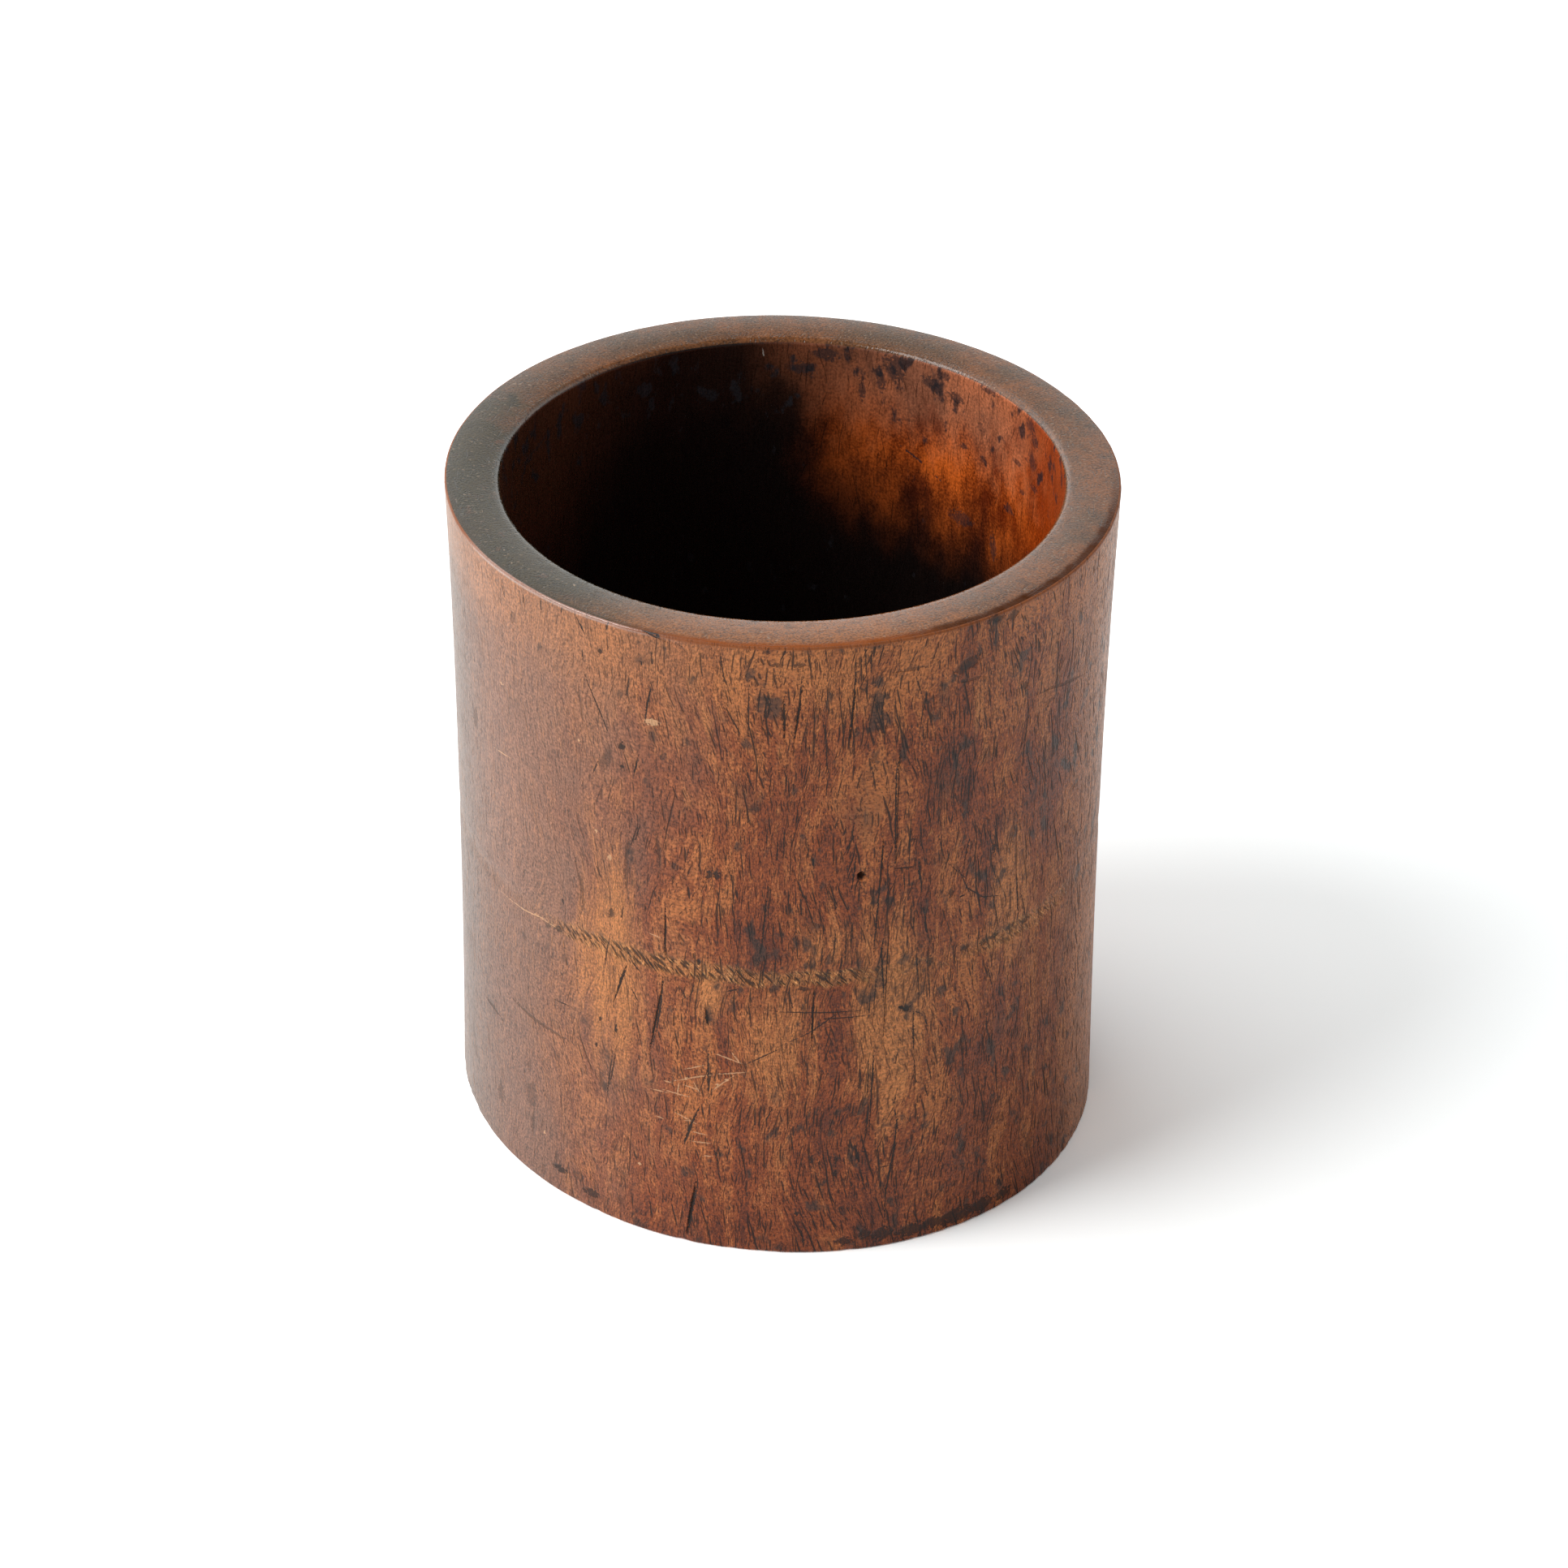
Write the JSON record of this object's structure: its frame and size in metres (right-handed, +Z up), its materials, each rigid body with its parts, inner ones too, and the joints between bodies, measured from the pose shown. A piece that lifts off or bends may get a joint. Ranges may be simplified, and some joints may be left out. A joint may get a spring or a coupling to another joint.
{
  "type": "brush pot",
  "caption": "Round thick-walled wooden brush pot, hollowed from a trunk section, with a flat mouth, a recessed underside and a plugged floor.",
  "frame": {"origin": "centre of the foot, on the surface that the pot stands on", "axes": "+Z up along the cavity, out of the mouth; the picture looks along +Y with +X to its right"},
  "size_m": [0.1808, 0.1798, 0.1944],
  "materials": {
    "pot_wood": "waxed dense hardwood, orange-brown with dark checks and pores, satin",
    "plug_wood": "plain end grain hardwood, dull"
  },
  "bodies": {
    "root": {"pot_body": "pot_wood", "base_plug": "plug_wood"}
  },
  "joints": []
}
